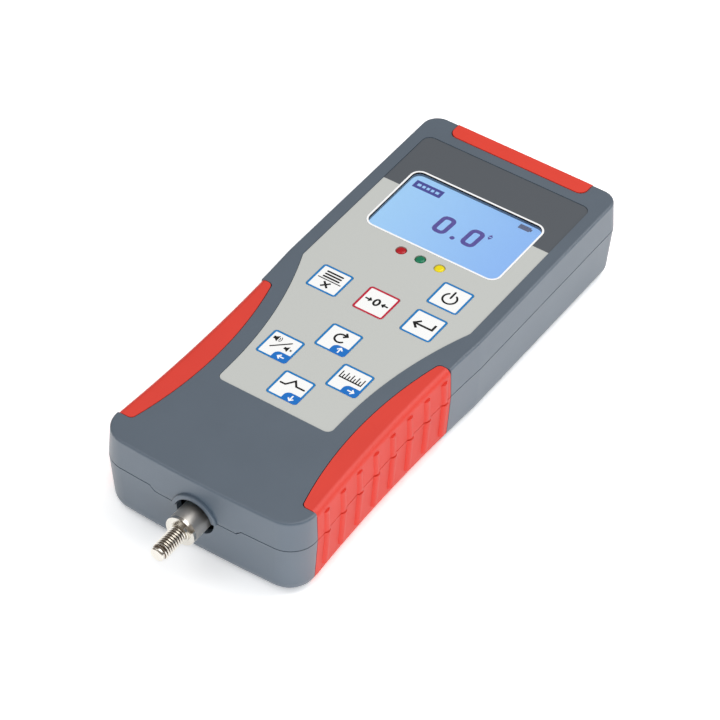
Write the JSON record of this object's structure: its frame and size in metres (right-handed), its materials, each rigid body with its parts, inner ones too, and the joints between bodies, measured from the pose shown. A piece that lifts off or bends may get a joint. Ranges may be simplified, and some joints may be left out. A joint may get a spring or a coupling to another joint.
{
  "type": "force gauge",
  "caption": "Handheld digital force gauge: keypad and display on the face, ribbed soft grips, end cap, and a measuring rod with a threaded stud that yields under load.",
  "frame": {"origin": "on the flat back face of the housing, on the plane of symmetry, midway between the two ends of the housing", "axes": "+Y towards the display and socket end, -Y along the measuring rod out of the instrument, +Z out of the keypad face, +X to the right seen from the face"},
  "size_m": [0.077, 0.2061, 0.0316],
  "materials": {
    "housing": "slate grey moulded plastic, fine texture",
    "grip": "red soft-touch elastomer, satin",
    "cap": "red moulded plastic, satin",
    "foil": "printed polyester film, matt",
    "window": "clear polycarbonate",
    "key_face": "white printed polyester film",
    "switch_sheet": "laminated switch sheet",
    "spring_steel": "stamped spring steel",
    "ribbon": "amber polyimide ribbon",
    "display_frame": "white moulded light guide frame",
    "display_glass": "lit blue display glass",
    "board": "green solder resist",
    "chip": "moulded package",
    "screw": "zinc-plated steel",
    "black_plastic": "moulded black plastic",
    "lamp_red": "diffused red lens",
    "lamp_green": "diffused green lens",
    "lamp_yellow": "diffused yellow lens",
    "socket_metal": "tin-plated shell",
    "battery_film": "blue shrink film",
    "lead_red": "red insulated lead",
    "lead_grey": "grey screened cable",
    "chassis": "milled aluminium",
    "cell_metal": "anodised aluminium",
    "rod_steel": "turned stainless steel"
  },
  "bodies": {
    "housing": {"upper_shell": "housing", "lower_shell": "housing", "grip_right_upper": "grip", "grip_right_lower": "grip", "grip_left_upper": "grip", "grip_left_lower": "grip", "end_cap": "cap", "keypad_overlay": "foil", "display_window": "window", "keypad_circuit": "switch_sheet", "snap_domes": "spring_steel", "keypad_tail": "ribbon", "lcd_frame": "display_frame", "lcd_glass": "display_glass", "main_board": "board", "board_chips": "chip", "board_screws": "screw", "buzzer": "black_plastic", "led_red": "lamp_red", "led_green": "lamp_green", "led_yellow": "lamp_yellow", "usb_socket": "socket_metal", "power_socket": "black_plastic", "battery_pack": "battery_film", "battery_lead": "lead_red", "cell_cable": "lead_grey", "load_frame": "chassis", "frame_screws": "screw", "load_cell": "cell_metal", "cell_bolt": "screw", "housing_screws": "screw"},
    "rod": {"measuring_rod": "rod_steel", "rod_adapter": "rod_steel"},
    "key_menu": {"key_menu": "key_face"},
    "key_zero": {"key_zero": "key_face"},
    "key_enter": {"key_enter": "key_face"},
    "key_power": {"key_power": "key_face"},
    "key_reset": {"key_reset": "key_face"},
    "key_sound": {"key_sound": "key_face"},
    "key_units": {"key_units": "key_face"},
    "key_mode": {"key_mode": "key_face"}
  },
  "joints": [
    {"name": "key_menu_press", "type": "slide", "parent": "housing", "child": "key_menu", "axis": [0, 0, -1], "range_m": [0, 0.0003], "stiffness_N_per_m": 1500},
    {"name": "key_zero_press", "type": "slide", "parent": "housing", "child": "key_zero", "axis": [0, 0, -1], "range_m": [0, 0.0003], "stiffness_N_per_m": 1500},
    {"name": "key_enter_press", "type": "slide", "parent": "housing", "child": "key_enter", "axis": [0, 0, -1], "range_m": [0, 0.0003], "stiffness_N_per_m": 1500},
    {"name": "key_power_press", "type": "slide", "parent": "housing", "child": "key_power", "axis": [0, 0, -1], "range_m": [0, 0.0003], "stiffness_N_per_m": 1500},
    {"name": "key_reset_press", "type": "slide", "parent": "housing", "child": "key_reset", "axis": [0, 0, -1], "range_m": [0, 0.0003], "stiffness_N_per_m": 1500},
    {"name": "key_sound_press", "type": "slide", "parent": "housing", "child": "key_sound", "axis": [0, 0, -1], "range_m": [0, 0.0003], "stiffness_N_per_m": 1500},
    {"name": "key_units_press", "type": "slide", "parent": "housing", "child": "key_units", "axis": [0, 0, -1], "range_m": [0, 0.0003], "stiffness_N_per_m": 1500},
    {"name": "key_mode_press", "type": "slide", "parent": "housing", "child": "key_mode", "axis": [0, 0, -1], "range_m": [0, 0.0003], "stiffness_N_per_m": 1500},
    {"name": "rod_deflection", "type": "slide", "parent": "housing", "child": "rod", "axis": [0, 1, 0], "range_m": [-0.0003, 0.0003], "stiffness_N_per_m": 20000}
  ]
}
